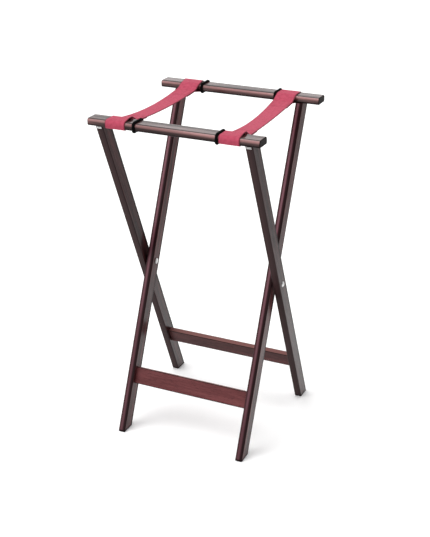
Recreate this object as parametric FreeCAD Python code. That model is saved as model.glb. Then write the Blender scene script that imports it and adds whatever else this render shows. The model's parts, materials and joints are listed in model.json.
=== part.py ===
import FreeCAD, Part
import math
import os

# Tall folding luggage and tray rack: two wooden frames cross like scissors on two
# rivets, and two webbing straps join their top rails and hold them apart when open.
#
# Millimetres and degrees, +Z up. X runs along the rails, Y from the front to the rear,
# and the origin is on the floor, under the middle of the open rack.
# The outer frame holds the front rail and stands on the rear feet.
# The inner frame holds the rear rail and stands on the front feet.

# ------------------------------------------------------------------ driving sizes
overall_height = 787.0        # floor to the top of the rails, rack open
pivot_height = 382.0          # floor to the rivets
leg_tilt = 23.8               # each leg from the vertical, rack open

rail_length = 405.0
rail_width = 39.0
rail_thickness = 16.5
rail_top_radius = 6.0         # rounded upper shoulders
rail_bottom_radius = 4.0
rail_end_radius = 1.8

leg_width = 34.5              # the broad face, seen from the side
leg_thickness = 17.5          # the narrow face, seen from the front
leg_edge_radius = 2.2
foot_chamfer = 1.2
rail_overhang = 17.75         # rail end to the outer face of an outer leg
leg_gap = 3.3                 # between the outer and the inner leg

stretcher_height = 40.5
stretcher_thickness = 13.0
stretcher_edge_radius = 1.5
stretcher_drop = 282.5        # rivet to stretcher, along the leg

# Rivet joint
rivet_diameter = 6.0
rivet_head_diameter = 13.0
rivet_head_height = 2.8
rivet_tail_diameter = 10.0
rivet_tail_height = 1.8
washer_diameter = 13.0
washer_thickness = 1.5
spacer_diameter = 20.0
running_clearance = 0.05      # rivet to the bore of the inner leg, on the radius
side_clearance = 0.3          # each side of the inner leg

# Dowels
rail_dowel_diameter = 6.0
rail_dowel_in_rail = 8.5
rail_dowel_in_leg = 22.0
rail_dowel_spacing = 14.0
stretcher_dowel_diameter = 6.0
stretcher_dowel_in_leg = 9.0
stretcher_dowel_in_stretcher = 20.0
stretcher_dowel_spacing = 18.0
dowel_end_gap = 1.0
dowel_end_chamfer = 0.6

# Crown staples shot up through the narrow outer face of each leg into the rail
staple_crown = 11.0
staple_wire = 1.4
staple_leg = 17.0
staple_slant = 30.0           # from the vertical
staple_drops = (1.6, 4.2)     # below the rail

# Webbing straps and the rubber rings that keep their loops from sliding
strap_width = 48.0
strap_thickness = 1.8
strap_seam_reach = 22.0       # from a rail's inner face to where the loop's two layers meet
strap_seam_drop = 11.0        # of that point below the rail tops
strap_seam = 38.0             # length over which the two layers are sewn together
strap_sag = 15.0              # of the middle of the strap below the rail tops
strap_leg_gap = {             # strap's outer edge to the inner face of the leg beside it
    ("left", "front"): 9.8,
    ("left", "rear"): 1.4,
    ("right", "front"): 9.3,
    ("right", "rear"): 1.0,
}
strap_ring_gap = {            # strap's inner edge to the ring that stops it
    ("left", "front"): 18.0,
    ("left", "rear"): 0.5,
    ("right", "front"): 1.4,
    ("right", "rear"): 0.5,
}
ring_width = 6.0
ring_proud = 4.5
ring_edge_radius = 2.4

# ------------------------------------------------------------------ derived places
rail_underside = overall_height - rail_thickness
tilt = math.radians(leg_tilt)
rail_y = (overall_height - rail_thickness / 2 - pivot_height) * math.tan(tilt)
outer_leg_face = rail_length / 2 - rail_overhang
outer_leg_x = outer_leg_face - leg_thickness / 2
inner_leg_x = outer_leg_x - leg_thickness - leg_gap

X_AXIS = FreeCAD.Vector(1, 0, 0)
SIDES = {"left": -1, "right": 1}
ENDS = {"front": -1, "rear": 1}
# A frame's lean is the side of Y that its top lies on: -1 is the front.
FRAMES = {
    "outer": {"lean": -1, "leg_x": outer_leg_x, "rail": "front_rail", "stretcher": "rear_stretcher"},
    "inner": {"lean": 1, "leg_x": inner_leg_x, "rail": "rear_rail", "stretcher": "front_stretcher"},
}


def point(x, y, z):
    return FreeCAD.Vector(x, y, z)


def strap_x(hand, end):
    """X of the middle of a strap's loop. The front loops lie beside the outer legs, the rear ones beside the inner."""
    leg_x = outer_leg_x if end == "front" else inner_leg_x
    outer_edge = leg_x - leg_thickness / 2 - strap_leg_gap[hand, end]
    return SIDES[hand] * (outer_edge - strap_width / 2)


def ring_x(hand, end):
    """X of the middle of the rubber ring inboard of a strap's loop."""
    inner_edge = SIDES[hand] * strap_x(hand, end) - strap_width / 2
    return SIDES[hand] * (inner_edge - strap_ring_gap[hand, end] - ring_width / 2)


def along_leg(lean):
    """Unit vector up a frame's legs."""
    return point(0, lean * math.sin(tilt), math.cos(tilt))


def across_leg(lean):
    """Unit vector across the broad face of a frame's legs, towards the side the top leans to."""
    return point(0, lean * math.cos(tilt), -math.sin(tilt))


def on_leg(x, lean, up):
    """Point on a leg's centre line, the distance up from the rivet."""
    return point(x, 0, pivot_height) + along_leg(lean) * up


def leg_reach(z):
    """Distance along a leg's centre line from the rivet to the height z."""
    return (z - pivot_height) / math.cos(tilt)


def tilted_bar(x, length_x, lean, up, low, high, breadth):
    """Box square to the legs: length_x along X, breadth across the leg, from up+low to up+high along it."""
    start = point(x - length_x / 2, 0, 0)
    corner = on_leg(0, lean, up + low) + start - across_leg(lean) * (breadth / 2)
    box = Part.makePolygon([
        corner,
        corner + X_AXIS * length_x,
        corner + X_AXIS * length_x + across_leg(lean) * breadth,
        corner + across_leg(lean) * breadth,
        corner,
    ])
    return Part.Face(box).extrude(along_leg(lean) * (high - low))


def edges_along(shape, direction):
    """Straight edges that run along a direction."""
    found = []
    for edge in shape.Edges:
        if len(edge.Vertexes) == 2 and edge.Curve.TypeId == "Part::GeomLine":
            run = edge.Vertexes[1].Point - edge.Vertexes[0].Point
            if run.cross(direction).Length < 1e-6 * run.Length:
                found.append(edge)
    return found


def edges_at_height(shape, z):
    return [e for e in shape.Edges if abs(e.BoundBox.ZMin - z) < 1e-6 and abs(e.BoundBox.ZMax - z) < 1e-6]


def rail_outline(grow):
    """Closed outline of the rail's section in the plane X = 0, with its top middle at the origin."""
    half = rail_width / 2 + grow
    top = grow
    bottom = -rail_thickness - grow
    upper = rail_top_radius + grow
    lower = rail_bottom_radius + grow
    bend = math.sqrt(0.5)

    def corner(side, edge, radius, up):
        centre = point(0, side * (half - radius), edge - up * radius)
        onside = centre + point(0, side * radius, 0)
        onedge = centre + point(0, 0, up * radius)
        middle = centre + point(0, side * radius * bend, up * radius * bend)
        return onside, middle, onedge

    rear_top = corner(1, top, upper, 1)
    front_top = corner(-1, top, upper, 1)
    rear_bottom = corner(1, bottom, lower, -1)
    front_bottom = corner(-1, bottom, lower, -1)
    edges = [
        Part.LineSegment(front_top[2], rear_top[2]),
        Part.Arc(rear_top[2], rear_top[1], rear_top[0]),
        Part.LineSegment(rear_top[0], rear_bottom[0]),
        Part.Arc(rear_bottom[0], rear_bottom[1], rear_bottom[2]),
        Part.LineSegment(rear_bottom[2], front_bottom[2]),
        Part.Arc(front_bottom[2], front_bottom[1], front_bottom[0]),
        Part.LineSegment(front_bottom[0], front_top[0]),
        Part.Arc(front_top[0], front_top[1], front_top[2]),
    ]
    return Part.Wire([edge.toShape() for edge in edges])


def rail_prism(lean, x, length, grow):
    """The rail's section, grown all round, along a length centred on x."""
    prism = Part.Face(rail_outline(grow)).extrude(X_AXIS * length)
    prism.translate(point(x - length / 2, lean * rail_y, overall_height))
    return prism


def end_edges(shape, x_values):
    """Edges that lie in one of the planes across X."""
    return [
        e for e in shape.Edges
        if any(abs(e.BoundBox.XMin - x) < 1e-6 and abs(e.BoundBox.XMax - x) < 1e-6 for x in x_values)
    ]


def dowel(start, direction, length, diameter):
    """Wooden peg with chamfered ends."""
    peg = Part.makeCylinder(diameter / 2, length, start, direction)
    rims = [e for e in peg.Edges if e.Closed and e.Curve.TypeId == "Part::GeomCircle"]
    return peg.makeChamfer(dowel_end_chamfer, rims)


def dowel_hole(start, direction, length, diameter):
    return Part.makeCylinder(diameter / 2, length, start, direction)


# ------------------------------------------------------------------ fasteners
def rail_dowel_places(frame):
    """Lower end of each dowel between the legs and the rail, with its direction."""
    lean = frame["lean"]
    reach = leg_reach(rail_underside)
    for side in SIDES.values():
        for across in (-rail_dowel_spacing / 2, rail_dowel_spacing / 2):
            # The end cut is level, so a dowel off the centre line meets the rail lower or higher on the leg.
            shift = across * math.tan(tilt)
            start = on_leg(side * frame["leg_x"], lean, reach + shift - rail_dowel_in_leg)
            yield start + across_leg(lean) * across, along_leg(lean)


def stretcher_dowel_places(frame):
    """Leg end of each dowel between the legs and the stretcher, with its direction."""
    lean = frame["lean"]
    for side in SIDES.values():
        inner_face = frame["leg_x"] - leg_thickness / 2
        for up in (-stretcher_dowel_spacing / 2, stretcher_dowel_spacing / 2):
            start_x = side * (inner_face + stretcher_dowel_in_leg)
            yield on_leg(start_x, lean, up - stretcher_drop), X_AXIS * -side


def rail_dowels(frame):
    length = rail_dowel_in_leg + rail_dowel_in_rail
    return [dowel(s, d, length, rail_dowel_diameter) for s, d in rail_dowel_places(frame)]


def rail_dowel_holes(frame):
    length = rail_dowel_in_leg + rail_dowel_in_rail + 2 * dowel_end_gap
    return [
        dowel_hole(s - d * dowel_end_gap, d, length, rail_dowel_diameter)
        for s, d in rail_dowel_places(frame)
    ]


def stretcher_dowels(frame):
    length = stretcher_dowel_in_leg + stretcher_dowel_in_stretcher
    return [dowel(s, d, length, stretcher_dowel_diameter) for s, d in stretcher_dowel_places(frame)]


def stretcher_dowel_holes(frame):
    length = stretcher_dowel_in_leg + stretcher_dowel_in_stretcher + 2 * dowel_end_gap
    return [
        dowel_hole(s - d * dowel_end_gap, d, length, stretcher_dowel_diameter)
        for s, d in stretcher_dowel_places(frame)
    ]


def staples(frame):
    """Two crown staples at the top of each leg, slanting up and inwards into the rail."""
    lean = frame["lean"]
    slant = math.radians(staple_slant)
    inward = point(0, -lean * math.sin(slant), math.cos(slant))
    thick = point(0, lean * math.cos(slant), math.sin(slant)) * staple_wire
    made = []
    for side in SIDES.values():
        for drop in staple_drops:
            # The entry is on the outer narrow face, at the height of the drop below the rail.
            face_up = leg_reach(rail_underside - drop) + leg_width / 2 * math.tan(tilt)
            entry = on_leg(side * frame["leg_x"], lean, face_up) + across_leg(lean) * (leg_width / 2)
            corner = entry - X_AXIS * (staple_crown / 2) - inward * staple_wire - thick * 0.5
            crown = [corner, corner + X_AXIS * staple_crown]
            crown += [crown[1] + thick, corner + thick, corner]
            body = Part.Face(Part.makePolygon(crown)).extrude(inward * (staple_wire + staple_leg))
            gap = [corner + X_AXIS * staple_wire, corner + X_AXIS * (staple_crown - staple_wire)]
            gap += [gap[1] + thick, gap[0] + thick, gap[0]]
            gap = [p + inward * staple_wire for p in gap]
            made.append(body.cut(Part.Face(Part.makePolygon(gap)).extrude(inward * staple_leg)))
    return made


def turned(x_radius_pairs, side):
    """Round piece on the rivet's axis, from (distance out along X, radius) points."""
    profile = [point(side * x, 0, r) for x, r in x_radius_pairs]
    face = Part.Face(Part.makePolygon(profile + [profile[0]]))
    solid = face.revolve(point(0, 0, 0), X_AXIS, 360)
    solid.translate(point(0, 0, pivot_height))
    return solid


def rivet_stations():
    """Places along X, on the right-hand side, of the faces that the rivet passes."""
    inner_leg_inside = inner_leg_x - leg_thickness / 2
    washer_outside = inner_leg_inside - side_clearance
    return outer_leg_face, washer_outside, washer_outside - washer_thickness


def pivot_rivet(side):
    """Rivet with a domed head outside the outer leg and a rolled tail against the washer."""
    head_x, _, tail_x = rivet_stations()
    shank = rivet_diameter / 2
    rim = rivet_head_diameter / 2
    profile = [(tail_x - rivet_tail_height, 0), (tail_x - rivet_tail_height, rivet_tail_diameter * 0.3)]
    profile += [(tail_x - rivet_tail_height * 0.45, rivet_tail_diameter / 2), (tail_x, rivet_tail_diameter / 2)]
    profile += [(tail_x, shank), (head_x, shank), (head_x, rim)]
    dome = (rim ** 2 + rivet_head_height ** 2) / (2 * rivet_head_height)
    steps = 6
    for step in range(1, steps + 1):
        radius = rim * (1 - step / steps)
        out = math.sqrt(dome ** 2 - radius ** 2) - (dome - rivet_head_height)
        profile.append((head_x + out, radius))
    return turned(profile, side)


def pivot_washer(side):
    """Steel washer between the inner leg and the rivet's tail."""
    _, outside, inside = rivet_stations()
    rim = washer_diameter / 2
    shank = rivet_diameter / 2
    return turned([(inside, shank), (outside, shank), (outside, rim), (inside, rim)], side)


def pivot_spacer(side):
    """Nylon spacer between the two legs, seated on the outer leg."""
    outside = outer_leg_face - leg_thickness
    inside = outside - leg_gap + side_clearance
    rim = spacer_diameter / 2
    shank = rivet_diameter / 2
    return turned([(inside, shank), (outside, shank), (outside, rim), (inside, rim)], side)


# ------------------------------------------------------------------ wooden parts
def rail(frame):
    wood = rail_prism(frame["lean"], 0, rail_length, 0)
    wood = wood.makeFillet(rail_end_radius, end_edges(wood, (-rail_length / 2, rail_length / 2)))
    return wood.cut(rail_dowel_holes(frame) + staples(frame))


def leg(frame, side):
    """Straight bar, cut level at the foot and under the rail."""
    lean = frame["lean"]
    x = side * frame["leg_x"]
    spare = leg_width
    low = leg_reach(0) - spare
    high = leg_reach(rail_underside) + spare
    wood = tilted_bar(x, leg_thickness, lean, 0, low, high, leg_width)
    slab = Part.makeBox(rail_length, 2 * overall_height, rail_underside)
    slab.translate(point(-rail_length / 2, -overall_height, 0))
    wood = wood.common(slab)
    wood = wood.makeFillet(leg_edge_radius, edges_along(wood, along_leg(lean)))
    wood = wood.makeChamfer(foot_chamfer, edges_at_height(wood, 0))
    bore = rivet_diameter / 2
    if frame["lean"] > 0:
        bore += running_clearance
    hole = Part.makeCylinder(bore, leg_thickness, point(x - leg_thickness / 2, 0, pivot_height), X_AXIS)
    return wood.cut([hole] + rail_dowel_holes(frame) + stretcher_dowel_holes(frame) + staples(frame))


def stretcher(frame):
    """Flat board between a frame's legs, level with their centre lines."""
    lean = frame["lean"]
    length = 2 * frame["leg_x"] - leg_thickness
    half = stretcher_height / 2
    wood = tilted_bar(0, length, lean, -stretcher_drop, -half, half, stretcher_thickness)
    wood = wood.makeFillet(stretcher_edge_radius, edges_along(wood, X_AXIS))
    return wood.cut(stretcher_dowel_holes(frame))


# ------------------------------------------------------------------ rings and straps
def rubber_ring(lean, x):
    """Ring stretched over the rail, with rounded rims."""
    ring = rail_prism(lean, x, ring_width, ring_proud)
    ring = ring.makeFillet(ring_edge_radius, end_edges(ring, (x - ring_width / 2, x + ring_width / 2)))
    return ring.cut(rail_prism(lean, x, ring_width, 0))


# Side profile of a strap, in distances (in, up) from a rail's outer top corner line: in is from
# the rail's middle towards the middle of the rack, and up is from the tops of the rails.
upper_bend = (rail_width / 2 - rail_top_radius, -rail_top_radius)
lower_bend = (rail_width / 2 - rail_bottom_radius, rail_bottom_radius - rail_thickness)
seam_in = rail_width / 2 + strap_seam_reach
seam_end_in = seam_in + strap_seam


def tangent_angle(bend, radius, target, side):
    """Angle from level of the line from a bend's centre to where webbing round it leaves for the target."""
    run = target[0] - bend[0]
    rise = target[1] - bend[1]
    return math.atan2(rise, run) + side * math.acos(radius / math.hypot(run, rise))


def upper_layer_height(inward):
    """Height of the upper layer's middle at a distance in from the rail's middle, past the start of the seam."""
    start = strap_thickness / 2 - strap_seam_drop
    share = (rail_y - inward) / (rail_y - seam_in)
    return -strap_sag + (start + strap_sag) * share ** 2


upper_seam_point = (seam_in, upper_layer_height(seam_in))
lower_seam_point = (seam_in, upper_seam_point[1] - strap_thickness)
upper_leave = tangent_angle(upper_bend, rail_top_radius + strap_thickness / 2, upper_seam_point, 1)
lower_leave = tangent_angle(lower_bend, rail_bottom_radius + strap_thickness / 2, lower_seam_point, -1)


def side_point(lean, inward, up):
    """Point in the plane X = 0 from a distance in from a rail's middle and a height from the rail tops."""
    return point(0, lean * (rail_y - inward), overall_height + up)


def off_bend(bend, radius, angle):
    return bend[0] + radius * math.cos(angle), bend[1] + radius * math.sin(angle)


def strip_face(lean, middle):
    """Side view of webbing whose middle follows the (in, up) points, with mitred corners and square ends."""
    headings = [math.atan2(b[1] - a[1], b[0] - a[0]) for a, b in zip(middle, middle[1:])]
    above = []
    below = []
    for index, (inward, up) in enumerate(middle):
        before = headings[max(index - 1, 0)]
        after = headings[min(index, len(headings) - 1)]
        heading = (before + after) / 2
        reach = strap_thickness / 2 / math.cos((after - before) / 2)
        step = (-math.sin(heading) * reach, math.cos(heading) * reach)
        above.append(side_point(lean, inward + step[0], up + step[1]))
        below.append(side_point(lean, inward - step[0], up - step[1]))
    outline = above + below[::-1]
    return Part.Face(Part.makePolygon(outline + outline[:1]))


def strap_centre(hand, y):
    """X of a strap's centre line at y: the strap runs a little askew between its two loops."""
    front = strap_x(hand, "front")
    rear = strap_x(hand, "rear")
    reach = rail_y - upper_bend[0]
    return front + (rear - front) * (y + reach) / (2 * reach)


def strap_loop(hand, end):
    """Webbing over the rail, down its outer face and under it, open on the inner side."""
    lean = ENDS[end]
    x = strap_x(hand, end)
    band = rail_prism(lean, x, strap_width, strap_thickness)
    band = band.cut(rail_prism(lean, x, strap_width, 0))
    opening = [
        upper_bend,
        off_bend(upper_bend, rail_width, upper_leave),
        (2 * rail_width, 0),
        off_bend(lower_bend, rail_width, lower_leave),
        lower_bend,
    ]
    corners = [side_point(lean, *corner) for corner in opening]
    wedge = Part.Face(Part.makePolygon(corners + corners[:1])).extrude(X_AXIS * strap_width)
    wedge.translate(point(x - strap_width / 2, 0, 0))
    return band.cut(wedge)


def strap_span(hand, end):
    """Half of a strap: the loop's two layers, the seam that joins them, and the span to the middle of the rack."""
    lean = ENDS[end]
    stations = 6
    sag_run = [seam_in + (rail_y - seam_in) * step / stations for step in range(stations + 1)]
    upper = [off_bend(upper_bend, rail_top_radius + strap_thickness / 2, upper_leave)]
    upper += [(inward, upper_layer_height(inward)) for inward in sag_run]
    tail_end = (seam_end_in, upper_layer_height(seam_end_in) - strap_thickness)
    lower = [off_bend(lower_bend, rail_bottom_radius + strap_thickness / 2, lower_leave)]
    lower += [lower_seam_point, tail_end]
    wide = 2 * rail_length
    layers = [strip_face(lean, middle).extrude(X_AXIS * wide) for middle in (upper, lower)]
    web = layers[0].fuse(layers[1]).removeSplitter()
    web.translate(point(-rail_length, 0, 0))
    # The plan outline trims the wide band to the strap's askew edges.
    y_end = lean * rail_y
    plan = []
    for y, side in ((0, -1), (0, 1), (y_end, 1), (y_end, -1), (0, -1)):
        plan.append(point(strap_centre(hand, y) + side * strap_width / 2, y, 0))
    height = overall_height + rail_thickness
    return web.common(Part.Face(Part.makePolygon(plan)).extrude(point(0, 0, height)))


# ------------------------------------------------------------------ all nodes
def build_nodes():
    nodes = {}
    for name, frame in FRAMES.items():
        nodes[frame["rail"]] = rail(frame)
        nodes[frame["stretcher"]] = stretcher(frame)
        nodes[f"{name}_rail_dowels"] = Part.makeCompound(rail_dowels(frame))
        nodes[f"{name}_stretcher_dowels"] = Part.makeCompound(stretcher_dowels(frame))
        nodes[f"{name}_staples"] = Part.makeCompound(staples(frame))
        for hand, side in SIDES.items():
            nodes[f"{name}_leg_{hand}"] = leg(frame, side)
    for hand, side in SIDES.items():
        nodes[f"pivot_rivet_{hand}"] = pivot_rivet(side)
        nodes[f"pivot_washer_{hand}"] = pivot_washer(side)
        nodes[f"pivot_spacer_{hand}"] = pivot_spacer(side)
        for end, lean in ENDS.items():
            nodes[f"ring_{end}_{hand}"] = rubber_ring(lean, ring_x(hand, end))
            nodes[f"strap_{hand}_{end}_loop"] = strap_loop(hand, end)
            nodes[f"strap_{hand}_{end}_span"] = strap_span(hand, end)
    return nodes


os.makedirs("parts", exist_ok=True)
for node, shape in build_nodes().items():
    solids = len(shape.Solids)
    print(f"{node}: {solids} solid(s), {shape.Volume / 1000:.2f} cm3, valid {shape.isValid()}")
    shape.exportStep(f"parts/{node}.step")
hinge_y = rail_y - upper_bend[0]
hinge_z = overall_height + upper_bend[1]
print(f"rail centre y {rail_y:.2f}, strap hinge y {hinge_y:.2f} z {hinge_z:.2f}")
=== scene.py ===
# %% [markdown]
# # A folding luggage rack, finished in Blender
# The rack's frame was designed in a CAD program, and it arrives here at its true size, in metres:
# two crossed wooden frames on rivets, joined at the top by two webbing straps. This lesson keeps
# the hard pieces as they are and gives them their finish, and makes the straps afresh, because
# cloth needs a shape and a surface that a solid modeller can't give it.

# %% Load the frame
import bpy
import json
import math
from mathutils import Matrix, Vector


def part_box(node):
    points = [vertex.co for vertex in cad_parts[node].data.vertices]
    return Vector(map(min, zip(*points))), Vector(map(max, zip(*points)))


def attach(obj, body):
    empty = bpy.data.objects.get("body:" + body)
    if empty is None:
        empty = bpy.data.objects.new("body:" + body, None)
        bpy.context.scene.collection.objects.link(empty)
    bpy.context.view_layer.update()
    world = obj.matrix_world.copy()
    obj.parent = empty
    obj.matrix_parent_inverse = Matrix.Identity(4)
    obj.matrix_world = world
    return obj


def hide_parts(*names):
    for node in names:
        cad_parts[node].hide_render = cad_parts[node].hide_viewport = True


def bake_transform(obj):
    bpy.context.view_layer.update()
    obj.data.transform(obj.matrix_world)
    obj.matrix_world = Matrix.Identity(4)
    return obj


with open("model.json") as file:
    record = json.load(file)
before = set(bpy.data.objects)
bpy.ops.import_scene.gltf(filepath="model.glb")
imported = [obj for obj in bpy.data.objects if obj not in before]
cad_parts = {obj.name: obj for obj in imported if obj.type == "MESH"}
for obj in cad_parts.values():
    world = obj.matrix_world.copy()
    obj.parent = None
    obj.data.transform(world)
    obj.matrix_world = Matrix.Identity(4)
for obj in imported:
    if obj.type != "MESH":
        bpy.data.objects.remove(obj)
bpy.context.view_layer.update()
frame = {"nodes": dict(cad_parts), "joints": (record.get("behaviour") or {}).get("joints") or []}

MM = 0.001
HANDS = ("left", "right")
ENDS = {"front": -1, "rear": 1}


def size_of(node_name, axis):
    """The size of a piece that arrived, along X, Y or Z (0, 1 or 2), to a hundredth of a millimetre."""
    low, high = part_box(node_name)
    return round(high[axis] - low[axis], 5)

# %% [markdown]
# ## The camera
# The camera comes first, because every later choice is judged through it. It could be placed by
# hand, but three plain facts are easier to change: how far it is turned round the rack, how high it
# looks down from, and how far away it stands. A long lens keeps the legs nearly parallel.

# %% Place the camera
CAMERA_TARGET = Vector((9.4, 3.9, 388.4)) * MM
CAMERA_DISTANCE = 2651.87 * MM
CAMERA_TURN = math.radians(24.82)
CAMERA_HEIGHT = math.radians(24.17)
CAMERA_ROLL = math.radians(-0.23)
CAMERA_LENS = 74.66

camera_data = bpy.data.cameras.new("camera")
camera_data.lens = CAMERA_LENS
camera = bpy.data.objects.new("camera", camera_data)
bpy.context.scene.collection.objects.link(camera)
turned = Matrix.Rotation(CAMERA_TURN, 4, "Z") @ Matrix.Rotation(math.pi / 2 - CAMERA_HEIGHT, 4, "X")
turned = turned @ Matrix.Rotation(CAMERA_ROLL, 4, "Z")
away = turned.to_3x3() @ Vector((0, 0, CAMERA_DISTANCE))
camera.matrix_world = Matrix.Translation(CAMERA_TARGET + away) @ turned
bpy.context.scene.camera = camera
print("camera at", [round(value, 3) for value in camera.matrix_world.translation])

# %% [markdown]
# ## A small helper for shaders
# A finish is a graph of nodes, and graphs are slow to read as lists of links. This class wraps one
# output socket, so that `1 - grain * 0.4` adds the Math nodes that it says. Most of a finish is a
# question of place: is this point near an edge, or inside a band? Two methods answer those, and
# `tint` mixes two colours by the answer. Anything else comes from the `node` method.

# %% The Wire class
class Wire:
    """One output socket in a material's graph, or the graph itself when it has no socket."""

    def __init__(self, tree, socket=None):
        self.tree = tree
        self.socket = socket

    def node(self, kind, settings=None, sockets=None, output=0):
        """Adds a node, sets its settings, fills its sockets with values or wires, and returns one output."""
        made = self.tree.nodes.new("ShaderNode" + kind)
        for name, value in (settings or {}).items():
            setattr(made, name, value)
        for name, value in (sockets or {}).items():
            if isinstance(value, Wire):
                self.tree.links.new(value.socket, made.inputs[name])
            else:
                made.inputs[name].default_value = value
        return Wire(self.tree, made.outputs[output])

    def math(self, operation, *values):
        """Adds a Math node on numbers or wires."""
        return self.node("Math", {"operation": operation}, dict(enumerate(values)))

    def __add__(self, other):
        return self.math("ADD", self, other)

    def __radd__(self, other):
        return self.math("ADD", other, self)

    def __sub__(self, other):
        return self.math("SUBTRACT", self, other)

    def __rsub__(self, other):
        return self.math("SUBTRACT", other, self)

    def __mul__(self, other):
        return self.math("MULTIPLY", self, other)

    def __rmul__(self, other):
        return self.math("MULTIPLY", other, self)

    def __abs__(self):
        return self.math("ABSOLUTE", self)

    def axis(self, letter):
        """One number of a vector: X, Y or Z."""
        return self.node("SeparateXYZ", {}, {"Vector": self}, letter)

    def ramp(self, low, high):
        """0 where this is below low, 1 where it is above high, and smooth in between."""
        return self.node("MapRange", {"interpolation_type": "SMOOTHSTEP"},
                         {"Value": self, "From Min": low, "From Max": high})

    def near(self, face, far, close):
        """0 where this is further than far short of a face, and 1 where it is within close of it."""
        return self.ramp(face - far, face - close)

    def band(self, rise, fall):
        """1 between two slopes, each given by its low and high end, and 0 outside them."""
        return self.ramp(*rise) * (1 - self.ramp(*fall))

    # A Mix node has a set of sockets for each kind of value, under the same names, so they are
    # given by their places: 2 and 3 take numbers, 6 and 7 take colours, and output 2 gives a colour.
    def mix(self, number, other):
        """The mix of two numbers: the first where this is 0, and the second where it is 1."""
        return self.node("Mix", {"data_type": "FLOAT"}, {0: self, 2: number, 3: other})

    def tint(self, colour, other):
        """The mix of two colours: the first where this is 0, and the second where it is 1."""
        pair = [shade if isinstance(shade, Wire) else (*shade, 1) for shade in (colour, other)]
        return self.node("Mix", {"data_type": "RGBA"}, {0: self, 6: pair[0], 7: pair[1]}, 2)


def new_finish(name, paint, **fixed):
    """A material: paint fills the sockets that vary, and fixed gives those that are the same all over."""
    material = bpy.data.materials.new(name)
    material.use_nodes = True
    tree = material.node_tree
    shader = tree.nodes["Principled BSDF"]
    for socket, value in fixed.items():
        shader.inputs[socket.replace("_", " ")].default_value = value
    for socket, value in paint(Wire(tree)).items():
        tree.links.new(value.socket, shader.inputs[socket])
    return material


# %% [markdown]
# ## Mahogany stain on hardwood
# The timber is a pale hardwood, stained a dark red-brown and sprayed with clear lacquer. The stain
# sinks into the pores and the soft streaks, so the colour runs in long lines along each piece, and
# cut ends drink more of it and go nearly black. A picture of wood would have to be wrapped round
# every piece. A three-dimensional noise, stretched along the grain, is cut by each face as a saw
# would cut it, so the sides, edges and ends agree. Legs lean, so their grain is turned with them.

# %% Grain and stain
LEG_LEAN = math.radians(23.8)
PIVOT_HEIGHT = frame["joints"][0]["pos_m"][2]
# The deep stain of the grain, also used for the painted shade line on the rails' tops.
DEEP_STAIN_AND_SHADE = (0.0075, 0.0024, 0.0027)
# Real end grain, also used for the painted shade on legs, rails and stretchers.
END_GRAIN_AND_SHADE = (0.005, 0.0022, 0.0022)
STREAKS = {"Scale": 95, "Detail": 5, "Distortion": 0.35}
LINES = {"Scale": 620, "Detail": 3}
PORES = {"Scale": 1900, "Detail": 1}
PORE_STAIN = 0.6
GRAIN_DEPTH = 0.4 * MM
GRAIN_STRENGTH = 0.12


def stained_wood(name, lean, stretch, tones, streakiness, marks_and_light, **gloss):
    """Stain in two tones with the grain along the stretched axis; the given function adds what is special to
    a piece, real marks and painted light alike.
    """

    def paint(start):
        place = start.node("TexCoord", output="Object")
        local = start.node("Mapping", {"vector_type": "TEXTURE"},
                           {"Vector": place, "Location": (0, 0, PIVOT_HEIGHT), "Rotation": (lean, 0, 0)})
        grain = start.node("Mapping", {"vector_type": "TEXTURE"}, {"Vector": local, "Scale": stretch})
        warm = start.node("TexNoise", {}, {"Vector": grain, **STREAKS}).ramp(0.34, 0.70)
        line = start.node("TexNoise", {}, {"Vector": grain, **LINES}).ramp(0.36, 0.66)
        pore = 1 - start.node("TexNoise", {}, {"Vector": grain, **PORES}).ramp(0.30, 0.40)
        colour = warm.tint(*tones)
        colour = ((1 - line) * streakiness).tint(colour, DEEP_STAIN_AND_SHADE)
        colour = (pore * PORE_STAIN).tint(colour, DEEP_STAIN_AND_SHADE)
        colour, ends, coat = marks_and_light(place, local, colour, warm)
        relief = {"Strength": GRAIN_STRENGTH, "Distance": GRAIN_DEPTH, "Height": line * 0.4 - pore}
        varying = {
            # Real end grain darkens the rails' ends; on the legs this paints shade just above the floor, and
            # on the stretchers along the arrises.
            "Base Color": ends.tint(colour, END_GRAIN_AND_SHADE),
            "Roughness": 0.33 + (1 - line) * 0.10 + pore * 0.15 + ends * 0.2,
            "Normal": start.node("Bump", {}, relief),
        }
        if coat is not None:
            varying["Coat Weight"] = coat
        return varying

    return new_finish(name, paint, **gloss)


print("legs lean", round(math.degrees(LEG_LEAN), 1), "degrees about a pivot at", round(PIVOT_HEIGHT, 3))

# %% [markdown]
# ## Where the painted light and the lacquer vary on a leg
# Every leg has a painted shade down the arrises of its wide faces. On the narrow faces, one stripe
# is a painted highlight, with a painted shade beside it and along the left edge, and just above the
# floor the feet are painted darker, as shade. The legs were hung up by their tops to dry, so the
# lacquer ran down and is thickest near the feet. All of it depends only on where a point is in
# the leg, so it is worked out from the distance to the leg's own faces, and it stays right if the
# leg is made wider.

# %% What is special to a leg
LEG_WIDTH = 34.5 * MM
LEG_THICKNESS = size_of("outer_leg_left", 0)
# How far short of a face the rounding of its edges starts and ends.
EDGE_ROUND = (1.4 * MM, 0.3 * MM)
# Places across a narrow face, from its middle to the right.
LEFT_EDGE = (-8.6 * MM, -5.6 * MM)
STRIPE_RISE = (-5.4 * MM, -2.8 * MM)
STRIPE_FALL = (-0.8 * MM, 1.8 * MM)
SHADE_LINE = (1.4 * MM, 3.8 * MM)
# How far short of the rear face the rear arris's painted shade starts and is full, and how far
# behind the front face the front arris's painted shade starts to fade and is gone.
REAR_ARRIS = (8.5 * MM, 4.0 * MM)
FRONT_ARRIS = (0.8 * MM, 2.6 * MM)
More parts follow.
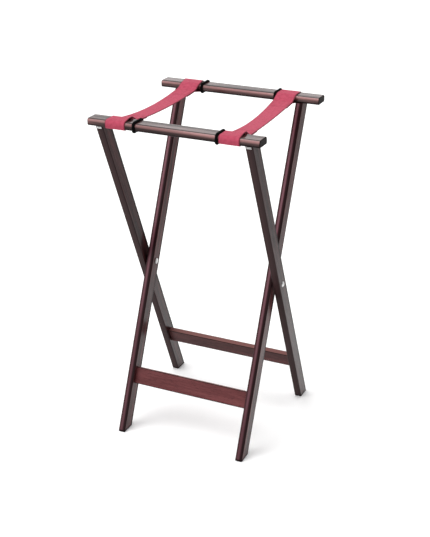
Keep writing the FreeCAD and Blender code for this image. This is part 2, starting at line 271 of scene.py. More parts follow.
# Heights above the floor: where the painted highlight gets stronger, where the run of lacquer thins
# out, and where the painted shade above the floor stops.
HIGHLIGHT_HEIGHT = (150 * MM, 500 * MM)
RUN_HEIGHT = (160 * MM, 620 * MM)
FLOOR_SHADE_HEIGHT = (2.0 * MM, 6.0 * MM)
# How dark each painted shade is.
SHADE_LINE_DARKNESS = 0.9
LEFT_EDGE_DARKNESS = 0.7
REAR_ARRIS_DARKNESS = 0.9
FRONT_ARRIS_DARKNESS = 0.6


def leg_lacquer_and_light(leg_node, narrow, stripe, narrow_shade_share, lacquer):
    """The painted light and lacquer of two legs, from a narrow-face colour, a highlight colour and how dark
    their painted shade is.

    Lacquer holds the thickness of the film low on the wide faces, how much of it is gone higher up,
    and the thickness on the narrow faces.
    """
    low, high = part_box(leg_node)
    leg_x = abs(low[0] + high[0]) / 2
    low_film, lost_film, narrow_film = lacquer

    def marks_and_light(place, local, colour, warm):
        x = place.axis("X")
        height = place.axis("Z")
        back = local.axis("Y")
        outwards = abs(x) - leg_x
        rightwards = outwards * x.math("SIGN", x)
        narrow_face = abs(back).near(LEG_WIDTH / 2, *EDGE_ROUND)
        wide_face = abs(outwards).near(LEG_THICKNESS / 2, *EDGE_ROUND)

        # A painted highlight down the narrow face, stronger higher up.
        lit_stripe = rightwards.band(STRIPE_RISE, STRIPE_FALL)
        lit_stripe = lit_stripe * (0.15 + height.ramp(*HIGHLIGHT_HEIGHT) * 0.55 + warm * 0.3)
        # A painted shade beside the highlight, and another along the narrow face's left edge.
        shade_line = rightwards.ramp(*SHADE_LINE) * narrow_shade_share
        left_edge_shade = (1 - rightwards.ramp(*LEFT_EDGE)) * narrow_shade_share
        face = lit_stripe.tint(narrow, stripe)
        face = (shade_line * SHADE_LINE_DARKNESS).tint(face, END_GRAIN_AND_SHADE)
        face = (left_edge_shade * LEFT_EDGE_DARKNESS).tint(face, END_GRAIN_AND_SHADE)
        colour = narrow_face.tint(colour, face)

        # Painted shade down the arrises of the wide faces, less glossy there.
        rear_arris = back.near(LEG_WIDTH / 2, *REAR_ARRIS) * REAR_ARRIS_DARKNESS
        front_arris = 1 - (back + LEG_WIDTH / 2).ramp(*FRONT_ARRIS)
        arris_shade = wide_face * x.math("MAXIMUM", rear_arris, front_arris * FRONT_ARRIS_DARKNESS)
        # Painted shade just above the floor, rougher and less glossy there.
        floor_shade = 1 - height.ramp(*FLOOR_SHADE_HEIGHT)
        wide_film = low_film - height.ramp(*RUN_HEIGHT) * lost_film
        film = wide_face.mix(narrow_film * (1 - shade_line * 0.8), wide_film)
        return arris_shade.tint(colour, END_GRAIN_AND_SHADE), floor_shade, film * (1 - arris_shade * 0.9) * (1 - floor_shade * 0.8)

    return marks_and_light


print("a leg is", round(LEG_WIDTH / MM, 1), "by", round(LEG_THICKNESS / MM, 1), "mm")

# %% [markdown]
# ## Rails and stretchers
# The rails' shoulders carry a painted highlight, with a painted shade line where the shoulder meets
# the flat top, and the underside is painted dark, as shade. A stretcher has a painted highlight on
# its top edge and painted shade on its arrises; the front one is painted lighter and the rear one
# darker, as lit and shaded copies of one wood.

# %% What is special to rails and stretchers
rail_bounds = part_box("front_rail")
# Depths below the rail's top.
SHOULDER_RISE = (0.8 * MM, 1.8 * MM)
SHOULDER_FALL = (3.4 * MM, 9.0 * MM)
TOP_LINE_RISE = (0.05 * MM, 0.25 * MM)
TOP_LINE_FALL = (0.7 * MM, 1.5 * MM)
UNDERSIDE = (8.5 * MM, 14.5 * MM)
# How dark the painted shade is in the line above the shoulders and on the underside.
TOP_LINE_DARKNESS = 0.75
UNDERSIDE_DARKNESS = 0.9
# The painted highlight on the rails' shoulders and on the stretchers' top edges.
SHOULDER_HIGHLIGHT = (0.33, 0.150, 0.145)
TOP_EDGE_HIGHLIGHT = (0.26, 0.11, 0.10)
# The stretchers lie square to the legs, this far below the pivot.
STRETCHER_DROP = 282.5 * MM
STRETCHER_HALF_HEIGHT = 20.25 * MM
STRETCHER_HALF_THICKNESS = 6.5 * MM


def rail_ends_and_light(place, local, colour, warm):
    """A painted highlight on the shoulders, painted shade above them and on the underside, and dark sawn
    ends.
    """
    depth = rail_bounds[1][2] - place.axis("Z")
    # A painted highlight on the shoulders.
    shoulder = depth.band(SHOULDER_RISE, SHOULDER_FALL) * (0.6 + warm * 0.4)
    # A painted shade line where the shoulder meets the flat top, and painted shade on the underside.
    line = depth.band(TOP_LINE_RISE, TOP_LINE_FALL)
    under = depth.ramp(*UNDERSIDE)
    colour = shoulder.tint(colour, SHOULDER_HIGHLIGHT)
    colour = (line * TOP_LINE_DARKNESS).tint(colour, DEEP_STAIN_AND_SHADE)
    colour = (under * UNDERSIDE_DARKNESS).tint(colour, END_GRAIN_AND_SHADE)
    ends = abs(place.axis("X")).near(rail_bounds[1][0], 2.0 * MM, 0.8 * MM)
    return colour, ends, (0.45 + warm * 0.55) * (1 - ends * 0.95) * (1 - under * 0.85)


def stretcher_light(place, local, colour, warm):
    """Painted shade on the arrises, a painted highlight on the top edge, and no lacquer to speak of."""
    up = local.axis("Z") + STRETCHER_DROP
    # Painted shade along the arrises, rougher there.
    arris_shade = abs(up).near(STRETCHER_HALF_HEIGHT, 2.6 * MM, 0.8 * MM)
    arris_shade = arris_shade * abs(local.axis("Y")).near(STRETCHER_HALF_THICKNESS, 1.5 * MM, 0.5 * MM)
    # A painted highlight along the top edge.
    top = up.near(STRETCHER_HALF_HEIGHT, 0.4 * MM, 0.1 * MM)
    colour = (top * 0.7).tint(colour, TOP_EDGE_HIGHLIGHT)
    return (arris_shade * 0.8).tint(colour, END_GRAIN_AND_SHADE), arris_shade * 0.5, None


print("rail ends at", round(rail_bounds[1][0], 4), "rail top at", round(rail_bounds[1][2], 4))

# %% Stain every kind of piece
GRAIN_STRETCH = 22
ALONG_X = (GRAIN_STRETCH, 1, 1)
ALONG_LEG = (1, 1, GRAIN_STRETCH)
# The outer legs' front faces look down, away from the light, so their tones are painted darker, as shade, and
# the inner legs' are painted lighter, as lit faces.
SHADED_OUTER_TONES = ((0.018, 0.0050, 0.0055), (0.060, 0.0160, 0.0165))
LIT_INNER_TONES = ((0.036, 0.0090, 0.0100), (0.115, 0.0290, 0.0300))
RAIL_TONES = ((0.030, 0.0110, 0.0110), (0.120, 0.0440, 0.0420))
# The front stretcher faces up into the light, so its tones are painted lighter, and the rear stretcher's are
# painted darker, as shade.
LIT_FRONT_TONES = ((0.116, 0.0310, 0.0325), (0.166, 0.0480, 0.0500))
SHADED_REAR_TONES = ((0.060, 0.0210, 0.0215), (0.105, 0.0330, 0.0330))
# The outer legs' narrow faces are painted darker than the inner legs', as shade, and each stripe colour is a
# painted highlight.
outer_leg_lacquer_and_light = leg_lacquer_and_light("outer_leg_right", narrow=(0.028, 0.0135, 0.0140), stripe=(0.034, 0.0165, 0.0170),
                      narrow_shade_share=0.12, lacquer=(0.54, 0.40, 0.12))
inner_leg_lacquer_and_light = leg_lacquer_and_light("inner_leg_right", narrow=(0.050, 0.0145, 0.0185), stripe=(0.200, 0.0880, 0.1080),
                      narrow_shade_share=0.9, lacquer=(0.58, 0.48, 0.16))
leg_gloss = {"Coat_Roughness": 0.18, "Specular_IOR_Level": 0.04}
wood = {
    "rail": stained_wood("stained_wood_on_rail", 0, ALONG_X, RAIL_TONES, 0.5, rail_ends_and_light,
                         Coat_Roughness=0.14, Specular_IOR_Level=0.05),
    "front_stretcher": stained_wood("stained_wood_on_front_stretcher", -LEG_LEAN, ALONG_X, LIT_FRONT_TONES, 0.2,
                                    stretcher_light, Specular_IOR_Level=0.12),
    "rear_stretcher": stained_wood("stained_wood_on_rear_stretcher", LEG_LEAN, ALONG_X, SHADED_REAR_TONES, 0.3,
                                   stretcher_light, Specular_IOR_Level=0.12),
    "outer_leg": stained_wood("stained_wood_on_outer_leg", LEG_LEAN, ALONG_LEG, SHADED_OUTER_TONES, 0.5,
                              outer_leg_lacquer_and_light, **leg_gloss),
    "inner_leg": stained_wood("stained_wood_on_inner_leg", -LEG_LEAN, ALONG_LEG, LIT_INNER_TONES, 0.5,
                              inner_leg_lacquer_and_light, **leg_gloss),
}
print("wood finishes:", [material.name for material in wood.values()])

# %% [markdown]
# ## Metal, rubber, nylon and bare wood
# The rivets and staples are zinc-plated: bright, a little uneven, and brushed by handling. The rings
# are moulded rubber and the spacers moulded nylon, both black, but rubber is the duller. The dowels
# are bare beech, and only their glue lines would ever show. Each gets a small change of colour and
# roughness from noise, because nothing real is one even value.

# %% The small finishes
def speckled(dark, pale, scale, rough, relief, stretch=(1, 1, 1)):
    """Paint for a plain finish: two close colours, two roughnesses and a fine bump, from one noise."""

    def paint(start):
        place = start.node("TexCoord", output="Object")
        grain = start.node("Mapping", {"vector_type": "TEXTURE"}, {"Vector": place, "Scale": stretch})
        noise = start.node("TexNoise", {}, {"Vector": grain, "Scale": scale, "Detail": 4})
        return {
            "Base Color": noise.ramp(0.3, 0.7).tint(dark, pale),
            "Roughness": rough[0] + noise * (rough[1] - rough[0]),
            "Normal": start.node("Bump", {}, {"Strength": 0.3, "Distance": relief, "Height": noise}),
        }

    return paint


zinc = new_finish("bright_zinc", speckled(
    (0.45, 0.45, 0.455), (0.74, 0.74, 0.73), scale=900, rough=(0.22, 0.45), relief=0.04 * MM),
    Metallic=1.0)
rubber = new_finish("black_rubber", speckled(
    (0.0015, 0.0014, 0.0015), (0.004, 0.0036, 0.0038), scale=1200, rough=(0.5, 0.7), relief=0.05 * MM),
    Specular_IOR_Level=0.02)
nylon = new_finish("black_nylon", speckled(
    (0.012, 0.012, 0.012), (0.022, 0.022, 0.022), scale=700, rough=(0.3, 0.5), relief=0.03 * MM))
beech = new_finish("bare_beech", speckled(
    (0.42, 0.27, 0.15), (0.66, 0.48, 0.30), scale=800, rough=(0.5, 0.7), relief=0.08 * MM,
    stretch=(18, 1, 1)))
print("small finishes:", zinc.name, rubber.name, nylon.name, beech.name)

# %% Give each hard piece its finish
FINISH_BY_WORD = [
    ("staples", zinc), ("rivet", zinc), ("washer", zinc), ("spacer", nylon), ("ring", rubber),
    ("dowels", beech), ("outer_leg", wood["outer_leg"]), ("inner_leg", wood["inner_leg"]),
    ("rail", wood["rail"]), ("front_stretcher", wood["front_stretcher"]),
    ("rear_stretcher", wood["rear_stretcher"]),
]
for node_name, piece in frame["nodes"].items():
    for word, finish in FINISH_BY_WORD:
        if word in node_name:
            piece.data.materials.clear()
            piece.data.materials.append(finish)
            break
print("finished:", len(frame["nodes"]))

# %% [markdown]
# ## Webbing
# The straps are woven tape: thick threads run along it, thin ones cross it, and the two edges are
# turned back in a tight selvedge. The weave is too fine to model thread by thread, so it is drawn by
# two waves at right angles that take turns to be on top, and a bump raises them. The pattern must
# follow the strap round its bends, so it reads the flat strip's own measure, kept in its UV map.
# The outside of the loops is painted darker below the rail's top, as shade, and that depends on the
# place on the rack instead. A painted shade also runs along both edges.

# %% The webbing finish
STRAP_WIDTH = size_of("strap_left_rear_loop", 0)
THREAD_ACROSS = 1.15 * MM
THREAD_ALONG = 1.7 * MM
THREAD_RELIEF = 0.35 * MM
BLOTCHES = {"Scale": 130, "Detail": 4}
SLUBS = {"Scale": 900, "Detail": 2}
# The colour of the painted shade along the strap's edges.
WEB_EDGE_SHADE = (0.12, 0.012, 0.022)
# Darker threads and blotches, and also the colour of the painted shade on the loops.
WEB_DARK_AND_SHADE = (0.24, 0.023, 0.045)
WEB_MID = (0.44, 0.053, 0.094)
WEB_PALE = (0.56, 0.094, 0.160)
rail_low, rail_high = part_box("rear_rail")
rail_y = (rail_low[1] + rail_high[1]) / 2
rail_top = rail_high[2]
# The painted shade on the loops starts and is full this far out from the rail's middle and this far
# below its top.
LOOP_SHADE_OUT = (rail_y + 12 * MM, rail_y + 20 * MM)
LOOP_SHADE_DOWN = (1 * MM, 16 * MM)


def woven(start):
    """Paint for the webbing: threads, blotches, and painted shade on the loops and along the edges."""
    flat = start.node("UVMap", {"uv_map": "flat"})
    across = flat.axis("X")
    warp = start.math("SINE", across * (2 * math.pi / THREAD_ACROSS))
    weft = start.math("SINE", flat.axis("Y") * (2 * math.pi / THREAD_ALONG))
    thread = warp * weft * 0.5 + 0.5
    blotch = start.node("TexNoise", {}, {"Vector": flat, **BLOTCHES})
    slub = start.node("TexNoise", {}, {"Vector": flat, **SLUBS})
    # Painted shade along both edges of the strap.
    edge = abs(across).near(STRAP_WIDTH / 2, 2.6 * MM, 0.8 * MM)
    place = start.node("TexCoord", output="Object")
    # Painted shade on the outside of the loops, below the rail's top.
    loop_shade = abs(place.axis("Y")).ramp(*LOOP_SHADE_OUT) * (rail_top - place.axis("Z")).ramp(*LOOP_SHADE_DOWN)
    colour = (thread * 0.55 + slub * 0.25).tint(WEB_MID, WEB_PALE)
    colour = (blotch.ramp(0.35, 0.75) * 0.35 + (1 - thread) * 0.12).tint(colour, WEB_DARK_AND_SHADE)
    colour = (loop_shade * 0.45).tint(colour, WEB_DARK_AND_SHADE)
    relief = thread + slub * 0.5
    return {
        "Base Color": (edge * 0.8).tint(colour, WEB_EDGE_SHADE),
        "Roughness": 0.80 + (1 - thread) * 0.12,
        "Normal": start.node("Bump", {}, {"Strength": 0.6, "Distance": THREAD_RELIEF, "Height": relief}),
    }


webbing = new_finish("woven_webbing", woven, Sheen_Weight=0.05, Sheen_Roughness=0.5, Specular_IOR_Level=0.2)
sewing_thread = new_finish("sewing_thread", speckled(
    (0.27, 0.040, 0.055), (0.36, 0.065, 0.085), scale=1500, rough=(0.6, 0.8), relief=0.05 * MM),
    Specular_IOR_Level=0.3)
print("cloth finishes:", webbing.name, sewing_thread.name)

# %% [markdown]
# ## The shape that a strap takes
# Each strap is one length of webbing. At both ends it goes over a rail, round it and back, and the
# end is sewn to the strap about 20 mm inside the rail, so from the side the loop is a teardrop.
# A cloth simulation would find that shape slowly, and differently each time a number changed. Here
# the side view is drawn instead: lines and arcs that hug the rail, written as distances in from the
# rail's middle and up from its top. The rack folds, so each strap is made as two halves that meet in
# the middle of the rack, and each half hangs from its own rail.

# %% Sizes of the straps and rails
RAIL_WIDTH = size_of("rear_rail", 1)
RAIL_THICKNESS = size_of("rear_rail", 2)
STRAP_THICKNESS = 1.8 * MM
# The radii of the bends round the rail's upper and lower shoulders.
TOP_BEND = 6 * MM
LOW_BEND = 4 * MM
# Where the seam starts, in from the rail's side and down from its top, and how long it is.
SEAM_REACH = 22 * MM
SEAM_DROP = 11 * MM
SEAM_LENGTH = 38 * MM
# The distance between neighbouring points of the side view.
STEP = 0.25 * MM

seam_in = RAIL_WIDTH / 2 + SEAM_REACH
print("rail middle at", round(rail_y, 4), "top at", round(rail_top, 4))

# %% Draw the side view of half a strap
TRIAL_DIP = 15 * MM


def arc(centre, radius, first, last):
    """Points round a bend, from one angle to another, in degrees."""
    count = max(2, int(abs(math.radians(last - first)) * radius / STEP))
    angles = [math.radians(first + (last - first) * step / count) for step in range(count + 1)]
    return [(centre[0] + radius * math.cos(angle), centre[1] + radius * math.sin(angle)) for angle in angles]


def leaving_angle(centre, radius, target, side):
    """Where, in degrees round a bend, a straight run to the target leaves it."""
    run = (target[0] - centre[0], target[1] - centre[1])
    return math.degrees(math.atan2(run[1], run[0]) + side * math.acos(radius / math.hypot(*run)))


def side_view(dip):
    """Points (in, up) along the strap's middle surface, from mid-span round the rail to the sewn tail."""
    half = STRAP_THICKNESS / 2
    start_up = half - SEAM_DROP
    count = int((rail_y - seam_in) / STEP)
    span = []
    for step in range(count + 1):
        share = step / count
        span.append((rail_y + (seam_in - rail_y) * share, -dip + (start_up + dip) * share ** 2))
    top_centre = (RAIL_WIDTH / 2 - TOP_BEND, -TOP_BEND)
    low_centre = (RAIL_WIDTH / 2 - LOW_BEND, LOW_BEND - RAIL_THICKNESS)
    under = (seam_in, start_up - STRAP_THICKNESS)
    top_angle = leaving_angle(top_centre, TOP_BEND + half, (seam_in, start_up), 1)
    low_angle = leaving_angle(low_centre, LOW_BEND + half, under, -1)
    over = arc(top_centre, TOP_BEND + half, top_angle, 90)
    over += arc((-top_centre[0], top_centre[1]), TOP_BEND + half, 90, 180)
    over += arc((-low_centre[0], low_centre[1]), LOW_BEND + half, 180, 270)
    over += arc(low_centre, LOW_BEND + half, -90, low_angle)
    sewn = [point for point in reversed(span) if point[0] <= seam_in + SEAM_LENGTH]
    tail = [(inward, up - STRAP_THICKNESS) for inward, up in sewn]
    return span + over + tail


def lengths_along(points):
    """The distance from the first point to each of them, along the line."""
    total = [0.0]
    for before, after in zip(points, points[1:]):
        total.append(total[-1] + math.dist(before, after))
    return total


trial_length = lengths_along(side_view(TRIAL_DIP))[-1]
print(f"half a strap that dips {TRIAL_DIP / MM:.0f} mm is {trial_length / MM:.1f} mm of webbing")

# %% [markdown]
# ## From a flat strip to a bent one
# Working on the flat is how webbing is cut and sewn, and it keeps the modelling simple. A grid of
# the strip's real size is extruded to its thickness and its two long edges are rounded while they
# are easy to find. Only then is each point moved: its distance along the strip picks a place on the
# side view, its height stands off from it, and its distance across stays across the rack. The
# straps aren't straight or level either: they run a little askew between the rails, one edge hangs
# lower than the other at mid-span, and the loop at the back left has been dragged outwards. On the
# front rail, one edge of each loop has worked loose and stands off the rail's top.

# %% The strap's own bends and drifts
# How far a strap's middle hangs below the rails' tops, and how far its right edge is above that.
SPAN_DIP = {"left": 17.6 * MM, "right": 16.9 * MM}
SPAN_TILT = {"left": 2.2 * MM, "right": 3.8 * MM}
# How far the loose edge stands off the rail, where across the strap the lift starts, as a share of
# half its width, and where it is highest: 1 is halfway to the seam, and less is nearer the outside.
LOOSE_EDGE = {"front": 4.2 * MM, "rear": 0.0}
LOOSE_FROM = -0.2
LOOSE_SKEW = 0.8
# How far a loop has been dragged to the right where it crosses the rail's four shoulders: the inner
# top, the outer top, the outer bottom and the inner bottom. Only one loop has been dragged.
LOOP_DRAG = {("left", "rear"): (-3.4 * MM, -9.0 * MM, -4.5 * MM, 0)}
NO_DRAG = (0, 0, 0, 0)


class BentStrip:
    """Half a strap: turns a point of the flat strip into its place on the rack."""

    def __init__(self, hand, end):
        self.side = ENDS[end]
        self.tilt = SPAN_TILT[hand]
        self.loose = LOOSE_EDGE[end]
        self.points = side_view(SPAN_DIP[hand])
        self.total = lengths_along(self.points)
        self.length = self.total[-1]
        self.drag = LOOP_DRAG.get((hand, end), NO_DRAG)
        self.shoulder = RAIL_WIDTH / 2 - TOP_BEND
        middle = {}
        for name in ENDS:
            low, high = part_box(f"strap_{hand}_{name}_loop")
            middle[name] = (low[0] + high[0]) / 2 + LOOP_DRAG.get((hand, name), NO_DRAG)[0]
        self.here = middle[end]
        self.there = middle["rear" if end == "front" else "front"]

    def find(self, along):
        """The side view's point and heading at a distance along the strip."""
        along = min(max(along, 0.0), self.length)
        low, high = 0, len(self.total) - 2
        while low < high:
            middle = (low + high + 1) // 2
            if self.total[middle] <= along:
                low = middle
            else:
                high = middle - 1
        span = self.total[low + 1] - self.total[low]
        share = (along - self.total[low]) / span
        before, after = self.points[low], self.points[low + 1]
        place = [a + (b - a) * share for a, b in zip(before, after)]
        return place, ((after[0] - before[0]) / span, (after[1] - before[1]) / span)

    def drift(self, inward, up):
        """The strap's middle, across the rack: askew over the span, and dragged where it crosses the rail."""
        inner_top, outer_top, outer_low, inner_low = self.drag
        if inward > self.shoulder:
            share = (inward - self.shoulder) / (2 * (rail_y - self.shoulder))
            straight = self.here + (self.there - self.here) * share
            if up < -TOP_BEND and inward < seam_in:
                low_share = (seam_in - inward) / (seam_in - self.shoulder)
                return straight + (inner_low - inner_top) * low_share
            return straight
        across = min((self.shoulder - inward) / (2 * self.shoulder), 1.0)
        if up > -RAIL_THICKNESS / 2:
            return self.here + (outer_top - inner_top) * across
        return self.here - inner_top + inner_low + (outer_low - inner_low) * across

    def standing_off(self, across, inward, up):
        """How far the loose edge, the one nearer the rack's right, stands off the rail's top."""
        start = -self.shoulder - TOP_BEND / 2
        if up <= -TOP_BEND * 2 or not start < inward < seam_in:
            return 0.0
        share = (inward - start) / (seam_in - start)
        edge = max(0.0, (across / (STRAP_WIDTH / 2) - LOOSE_FROM) / (1 - LOOSE_FROM))
        return self.loose * edge ** 2 * math.sin(math.pi * share ** LOOSE_SKEW) ** 2

    def place(self, across, along, height):
        """The place on the rack of a point of the flat strip."""
        (inward, up), heading = self.find(along)
        rise = 0.0
        if inward > seam_in:
            to_middle = (rail_y - inward) / (rail_y - seam_in)
            rise = self.tilt * across / (STRAP_WIDTH / 2) * (1 - to_middle ** 2)
        x = self.drift(inward, up) + across
        height += self.standing_off(across, inward, up)
        inward += heading[1] * height
        up += -heading[0] * height
        return Vector((x, self.side * (rail_y - inward), rail_top + up + rise))


strips = {(hand, end): BentStrip(hand, end) for hand in HANDS for end in ENDS}
for key, strip in strips.items():
    print(key, "middle", round(strip.here / MM, 1), "length", round(strip.length / MM, 1))

# %% Helpers for work in edit mode
def deselect_all():
    """Leaves edit mode, and lets go of every object."""
    if bpy.context.mode != "OBJECT":
        bpy.ops.object.mode_set(mode="OBJECT")
    bpy.ops.object.select_all(action="DESELECT")


def named(name):
    """Names the object that an operator has just made, and its mesh."""
    piece = bpy.context.object
    piece.name = piece.data.name = name
    return piece


def select_where(piece, kind, test):
    """Selects the piece's edges or faces that pass a test, and leaves edit mode on."""
    bpy.ops.object.mode_set(mode="EDIT")
    bpy.ops.mesh.select_mode(type=kind)
    bpy.ops.mesh.select_all(action="DESELECT")
    bpy.ops.object.mode_set(mode="OBJECT")
    for part in {"EDGE": piece.data.edges, "FACE": piece.data.polygons}[kind]:
        part.select = test(part)
    bpy.ops.object.mode_set(mode="EDIT")


def turn_outwards(piece, sharp):
    """Turns the piece's faces outwards, and shades it smooth where it bends less than an angle in degrees."""
    deselect_all()
    piece.select_set(True)
    bpy.context.view_layer.objects.active = piece
    bpy.ops.object.mode_set(mode="EDIT")
    bpy.ops.mesh.select_all(action="SELECT")
    bpy.ops.mesh.normals_make_consistent(inside=False)
    bpy.ops.object.mode_set(mode="OBJECT")
    bpy.ops.object.shade_smooth_by_angle(angle=math.radians(sharp))


# %% Weave the four half straps
ROW = 2.0 * MM
COLUMNS = 12
SELVEDGE = 0.7 * MM
SELVEDGE_STEPS = 3
STRAP_SHARP = 50


def on_selvedge(piece):
    """A test for the edges that run along the strip's two sides."""
    places = piece.data.vertices

    def test(edge):
        first, last = (places[index].co for index in edge.vertices)
        at_side = min(abs(first.x), abs(last.x)) > STRAP_WIDTH / 2 - SELVEDGE / 4
        return at_side and abs(first.y - last.y) > ROW / 4

    return test


def flat_strip(name, length):
    """A closed flat strip with rounded long edges, from y = 0 to its length."""
    deselect_all()
    bpy.ops.mesh.primitive_grid_add(x_subdivisions=COLUMNS, y_subdivisions=round(length / ROW), size=1)
    piece = named(name)
    bpy.ops.object.mode_set(mode="EDIT")
    bpy.ops.mesh.select_all(action="SELECT")
    bpy.ops.transform.resize(value=(STRAP_WIDTH, length, 1))
    bpy.ops.transform.translate(value=(0, length / 2, -STRAP_THICKNESS / 2))
    bpy.ops.mesh.extrude_region_move(TRANSFORM_OT_translate={"value": (0, 0, STRAP_THICKNESS)})
    bpy.ops.object.mode_set(mode="OBJECT")
    select_where(piece, "EDGE", on_selvedge(piece))
    bpy.ops.mesh.bevel(offset=SELVEDGE, segments=SELVEDGE_STEPS, affect="EDGES")
    bpy.ops.object.mode_set(mode="OBJECT")
    return piece


def keep_flat_measure(piece, direction):
    """Writes each corner's place on the flat strip, in metres, to the UV map that the weave reads."""
    while piece.data.uv_layers:
        piece.data.uv_layers.remove(piece.data.uv_layers[0])
    flat = piece.data.uv_layers.new(name="flat")
    for loop in piece.data.loops:
        place = piece.data.vertices[loop.vertex_index].co
        flat.data[loop.index].uv = (place.x, direction * place.y)


straps = {}
for (hand, end), strip in strips.items():
    piece = flat_strip(f"strap_{hand}_{end}", strip.length)
    keep_flat_measure(piece, ENDS[end])
    for vertex in piece.data.vertices:
        vertex.co = strip.place(*vertex.co)
    turn_outwards(piece, STRAP_SHARP)
    piece.data.materials.append(webbing)
    straps[hand, end] = piece
    print(piece.name, len(piece.data.polygons), "faces")

# %% [markdown]
# ## The frame's own straps
# On the rack, a half strap's loop stays on the rail while its span swings down as the rack folds.
# Here the frame's own loops and spans are hidden, and each half strap keeps its place in its mesh.

# %% Hide the frame's own straps
for (hand, end), piece in straps.items():
    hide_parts(f"strap_{hand}_{end}_loop", f"strap_{hand}_{end}_span")
    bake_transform(piece)
print("tied:", [piece.name for piece in straps.values()])

# %% [markdown]
# ## Sewing
# Two layers are held by a box of lock stitches. Each stitch shows as a short raised lozenge of
# thread that dives into the webbing at both ends. One stitch is shaped from a small cylinder, then
# copied round the box, on the flat strip, and bent with it, on the top and again underneath.

# %% One stitch
STITCH_LENGTH = 3.4 * MM
STITCH_PITCH = 4.2 * MM
STITCH_SIDES = 8
THREAD = 0.75 * MM
# At each end the thread is drawn in, reaches out a little further, and dives into the webbing.
NECK_INSET = 0.18 * THREAD
NECK_REACH = 0.3 * THREAD
NECK_DIVE = 0.35 * THREAD


def one_stitch(name):
    """A thread that lies along Y, thick in the middle and drawn in at its ends."""
    deselect_all()
    bpy.ops.mesh.primitive_cylinder_add(vertices=STITCH_SIDES, radius=THREAD / 2, depth=STITCH_LENGTH)
    piece = named(name)
    bpy.ops.object.mode_set(mode="EDIT")
    bpy.ops.mesh.select_all(action="SELECT")
    bpy.ops.transform.rotate(value=math.pi / 2, orient_axis="X", center_override=(0, 0, 0))
    bpy.ops.object.mode_set(mode="OBJECT")
    for side in (-1, 1):
        select_where(piece, "FACE", lambda face: face.normal.y * side > 0.9)
        bpy.ops.mesh.inset(thickness=NECK_INSET)
        bpy.ops.transform.translate(value=(0, side * NECK_REACH, -NECK_DIVE))
        bpy.ops.object.mode_set(mode="OBJECT")
    return piece


# %% Where the stitches lie
SEWN_WIDTH = 36 * MM
SEWN_EDGE = 3 * MM


def stitch_places(start, length):
    """Where the stitches lie on the flat strip, round a box: (across, along, turned)."""
    corners = [(-SEWN_WIDTH / 2, start), (SEWN_WIDTH / 2, start), (SEWN_WIDTH / 2, start + length),
               (-SEWN_WIDTH / 2, start + length)]
    places = []
    for first, last in zip(corners, corners[1:] + corners[:1]):
        run = (last[0] - first[0], last[1] - first[1])
        count = round(math.hypot(*run) / STITCH_PITCH)
        for index in range(count):
            share = (index + 0.5) / count
            places.append((first[0] + run[0] * share, first[1] + run[1] * share, math.atan2(*run)))
    return places


seam_end = rail_y - seam_in - SEAM_LENGTH
seam_stitches = stitch_places(seam_end + SEWN_EDGE, SEAM_LENGTH - 2 * SEWN_EDGE)
print("stitches in a seam, on each side:", len(seam_stitches))

# %% Sew the four seams
STITCH_SHARP = 60
# The top of the upper layer and the underside of the lower one, up from the upper one's middle.
TOP_LAYER = STRAP_THICKNESS / 2
LOW_LAYER = -1.5 * STRAP_THICKNESS


def sewn_seam(name, strip):
    """All the stitches of one seam, as one piece, on the top and underneath."""
    stitch = one_stitch(name)
    source = [vertex.co.copy() for vertex in stitch.data.vertices]
    faces = [tuple(face.vertices) for face in stitch.data.polygons]
    points, loops = [], []
    for across, along, heading in seam_stitches:
        turn = Matrix.Rotation(-heading, 3, "Z")
        for height, flip in ((TOP_LAYER, 1), (LOW_LAYER, -1)):
            loops += [tuple(len(points) + index for index in face[::flip]) for face in faces]
            for place in source:
                spot = turn @ place
                points.append(strip.place(across + spot.x, along + spot.y, height + spot.z * flip))
    stitch.data.clear_geometry()
    stitch.data.from_pydata(points, [], loops)
    stitch.data.materials.append(sewing_thread)
    turn_outwards(stitch, STITCH_SHARP)
    return stitch


for (hand, end), strip in strips.items():
    seam = sewn_seam(f"stitching_{hand}_{end}", strip)
    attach(seam, f"{end}_spans")
    print(seam.name, len(seam.data.polygons), "faces")

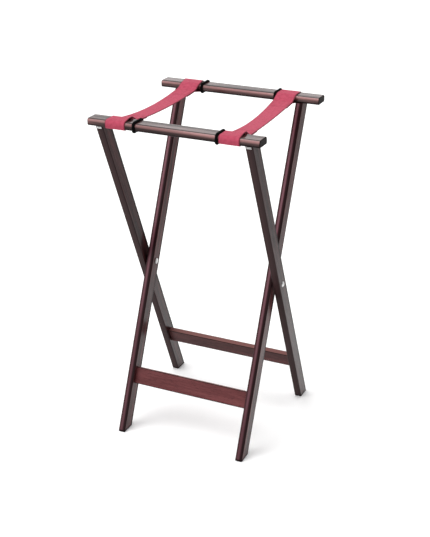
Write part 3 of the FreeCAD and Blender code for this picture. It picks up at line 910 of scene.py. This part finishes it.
# %% [markdown]
# ## Floor and light
# A pale floor and a pale room make a plain studio, and one wide, soft sun stands in for a lit
# ceiling. The lacquer is what shows the room: it is dark and glossy, so it looks grey wherever it
# mirrors something bright. A lamp for each highlight would take long to balance. Instead the room
# itself has a bright window at the left of the camera and a pale wall behind the rack.

# %% Lay the floor
FLOOR_SIZE = 60
FLOOR_DROP = 0.5 * MM

deselect_all()
bpy.ops.mesh.primitive_plane_add(size=FLOOR_SIZE, location=(0, 0, -FLOOR_DROP))
floor = named("floor")
floor.data.materials.append(new_finish(
    "pale_floor", lambda start: {}, Base_Color=(0.93, 0.93, 0.93, 1), Roughness=0.9,
    Emission_Color=(1, 1, 1, 1), Emission_Strength=0.10))
print("floor:", FLOOR_SIZE, "m square")

# %% Light the room
ROOM_GREY = (0.32, 0.32, 0.32)
PALE_WALL = (1.3, 1.3, 1.3)
WINDOW_WHITE = (2.3, 2.3, 2.3)
WINDOW_FROM = (-0.704, -0.664, 0.251)
CEILING_FROM = Vector((-0.25, -0.22, 1.00))
CEILING_SPREAD = math.radians(55)
CEILING_STRENGTH = 2.5

world = bpy.data.worlds.new("studio")
world.use_nodes = True
room = Wire(world.node_tree)
facing = room.node("TexCoord", output="Generated")
wall = facing.axis("Y").ramp(0.1, 0.6) * facing.axis("Z").band((-0.1, 0.1), (0.55, 0.8))
window = room.node("VectorMath", {"operation": "DOT_PRODUCT"}, {0: facing, 1: WINDOW_FROM}, "Value")
glow = window.ramp(0.84, 0.93).tint(wall.tint(ROOM_GREY, PALE_WALL), WINDOW_WHITE)
world.node_tree.links.new(glow.socket, world.node_tree.nodes["Background"].inputs["Color"])
bpy.context.scene.world = world
bpy.context.scene.view_settings.view_transform = "Standard"

ceiling_data = bpy.data.lights.new("ceiling", "SUN")
ceiling_data.angle = CEILING_SPREAD
ceiling_data.energy = CEILING_STRENGTH
ceiling = bpy.data.objects.new("ceiling", ceiling_data)
bpy.context.scene.collection.objects.link(ceiling)
ceiling.matrix_world = (-CEILING_FROM).to_track_quat("-Z", "Y").to_matrix().to_4x4()
print("lamp:", ceiling.name, "strength", ceiling_data.energy)

# %% Let go of every object
deselect_all()
